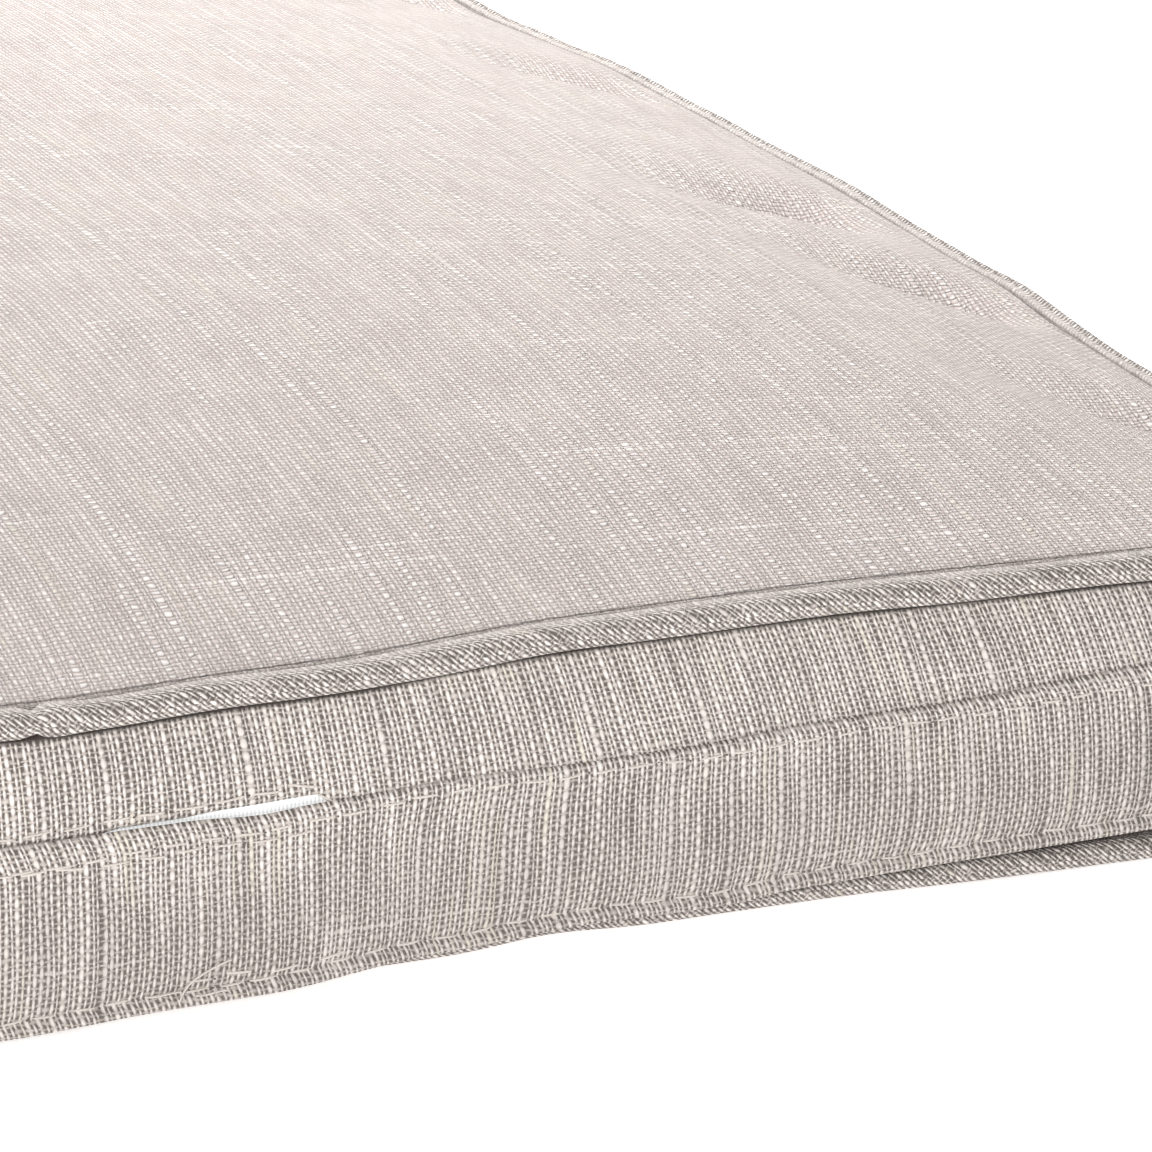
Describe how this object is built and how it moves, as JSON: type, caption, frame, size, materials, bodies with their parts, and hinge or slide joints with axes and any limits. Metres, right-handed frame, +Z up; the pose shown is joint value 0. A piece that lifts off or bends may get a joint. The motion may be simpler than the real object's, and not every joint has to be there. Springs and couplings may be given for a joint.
{
  "type": "chair cushion",
  "caption": "Square piped box cushion for a chair seat, with a lapped zip strip on one side, crowned on top and flat where it rests.",
  "frame": {"origin": "centre of the footprint, on the flat face that it rests on", "axes": "+Z up through the crowned top panel, -Y out of the zip side, +X along the zip side"},
  "size_m": [0.416, 0.4186, 0.065],
  "materials": {
    "panel_cloth": "light greige slub linen-look plain weave, matt",
    "boxing_cloth": "the same slub weave with its thick yarns upright, matt",
    "piping_cloth": "the same cloth cut on the bias over a round cord, matt",
    "zip_tape_cloth": "white fine woven zip tape, matt"
  },
  "bodies": {
    "root": {"filled_pad": "panel_cloth", "top_piping": "piping_cloth", "bottom_piping": "piping_cloth", "plain_boxing": "boxing_cloth", "upper_zip_strip": "boxing_cloth", "lower_zip_strip": "boxing_cloth", "zip_tape": "zip_tape_cloth"}
  },
  "joints": []
}
